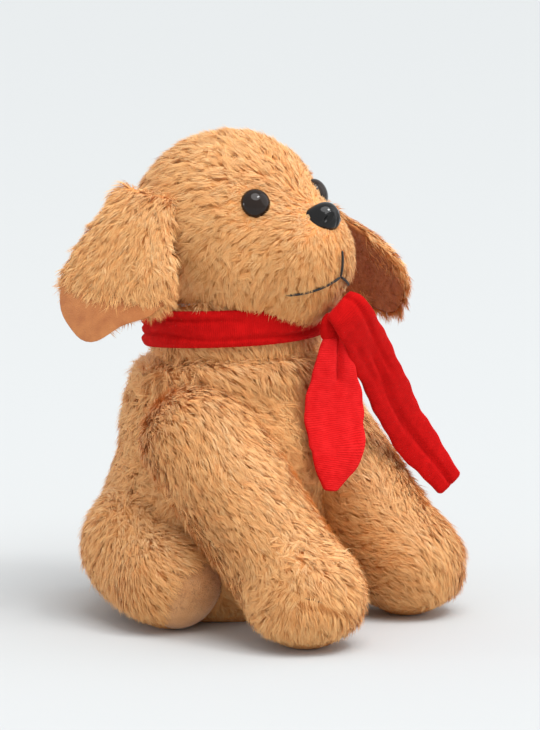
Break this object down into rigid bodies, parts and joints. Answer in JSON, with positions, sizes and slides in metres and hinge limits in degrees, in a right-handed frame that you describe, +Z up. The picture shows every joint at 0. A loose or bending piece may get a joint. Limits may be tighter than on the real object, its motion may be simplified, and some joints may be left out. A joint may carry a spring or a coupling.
{
  "type": "plush dog",
  "caption": "Sitting golden plush puppy with floppy ears, safety eyes, moulded nose, embroidered mouth and a tied scarf, with posable head, ears, legs and tail",
  "frame": {"origin": "on the table under the middle of the seat", "axes": "+Z up, -Y the way the dog faces, +X the dog's left side"},
  "size_m": [0.1553, 0.1819, 0.2225],
  "materials": {
    "fur": "long soft golden pile",
    "wadding": "white fibre filling",
    "pellet_cloth": "plain woven bag",
    "short_pile": "short brushed pile",
    "eye_plastic": "polished dark dome",
    "nose_plastic": "polished black",
    "washer_plastic": "plain white",
    "black_thread": "embroidery thread",
    "brown_thread": "sewing thread",
    "scarf_cloth": "fine ribbed velour"
  },
  "bodies": {
    "torso": {"torso_skin": "fur", "torso_stuffing": "wadding", "pellet_pouch": "pellet_cloth", "scarf_band": "scarf_cloth", "scarf_knot": "scarf_cloth"},
    "neck": {"neck_skin": "fur", "neck_stuffing": "wadding"},
    "head": {"head_skin": "fur", "head_stuffing": "wadding", "eye_left": "eye_plastic", "eye_right": "eye_plastic", "eye_washer_left": "washer_plastic", "eye_washer_right": "washer_plastic", "nose": "nose_plastic", "nose_washer": "washer_plastic", "mouth_stitching": "black_thread"},
    "ear_left": {"ear_left_pile": "fur", "ear_left_lining": "short_pile"},
    "ear_right": {"ear_right_pile": "fur", "ear_right_lining": "short_pile"},
    "front_leg_left": {"front_leg_left_skin": "fur", "front_leg_left_stuffing": "wadding", "front_leg_left_paw_stitching": "brown_thread"},
    "front_leg_right": {"front_leg_right_skin": "fur", "front_leg_right_stuffing": "wadding", "front_leg_right_paw_stitching": "brown_thread"},
    "hind_leg_left": {"hind_leg_left_skin": "fur", "hind_leg_left_stuffing": "wadding", "hind_leg_left_sole": "short_pile"},
    "hind_leg_right": {"hind_leg_right_skin": "fur", "hind_leg_right_stuffing": "wadding", "hind_leg_right_sole": "short_pile"},
    "tail": {"tail_skin": "fur", "tail_stuffing": "wadding"},
    "short_scarf_tail": {"scarf_short_tail": "scarf_cloth"},
    "long_scarf_tail": {"scarf_long_tail": "scarf_cloth"}
  },
  "joints": [
    {"name": "head_turn", "type": "hinge", "parent": "torso", "child": "neck", "pos_m": [0, -0.006, 0.18], "axis": [0, 0.1029, 0.9947], "range_deg": [-25, 25], "stiffness_Nm_per_rad": 0.3},
    {"name": "head_nod", "type": "hinge", "parent": "neck", "child": "head", "pos_m": [0, -0.006, 0.18], "axis": [1, 0, 0], "range_deg": [-15, 5], "stiffness_Nm_per_rad": 0.5},
    {"name": "ear_left_lift", "type": "hinge", "parent": "head", "child": "ear_left", "pos_m": [0.045, -0.012, 0.187], "axis": [0, -1, 0], "range_deg": [0, 60]},
    {"name": "ear_right_lift", "type": "hinge", "parent": "head", "child": "ear_right", "pos_m": [-0.0415, 0.007, 0.2035], "axis": [-0.1736, 0.9848, 0], "range_deg": [0, 60]},
    {"name": "front_leg_left_raise", "type": "hinge", "parent": "torso", "child": "front_leg_left", "pos_m": [0.038, -0.02, 0.088], "axis": [-1, 0, 0], "range_deg": [0, 4.5]},
    {"name": "front_leg_right_raise", "type": "hinge", "parent": "torso", "child": "front_leg_right", "pos_m": [-0.038, -0.02, 0.088], "axis": [-1, 0, 0], "range_deg": [0, 20]},
    {"name": "hind_leg_left_splay", "type": "hinge", "parent": "torso", "child": "hind_leg_left", "pos_m": [0.038, 0.014, 0.032], "axis": [0, 0, 1], "range_deg": [0, 9], "stiffness_Nm_per_rad": 0.15},
    {"name": "hind_leg_right_splay", "type": "hinge", "parent": "torso", "child": "hind_leg_right", "pos_m": [-0.038, 0.014, 0.032], "axis": [0, 0, -1], "range_deg": [0, 9], "stiffness_Nm_per_rad": 0.15},
    {"name": "tail_wag", "type": "hinge", "parent": "torso", "child": "tail", "pos_m": [0, 0.05, 0.024], "axis": [0, 0, 1], "range_deg": [-30, 30], "stiffness_Nm_per_rad": 0.03},
    {"name": "short_scarf_tail_swing", "type": "hinge", "parent": "torso", "child": "short_scarf_tail", "pos_m": [0.005, -0.067, 0.1265], "axis": [-1, 0, 0], "range_deg": [0, 30]},
    {"name": "long_scarf_tail_swing", "type": "hinge", "parent": "torso", "child": "long_scarf_tail", "pos_m": [0.003, -0.0775, 0.148], "axis": [-0.6913, -0.6204, -0.3705], "range_deg": [0, 45]}
  ]
}
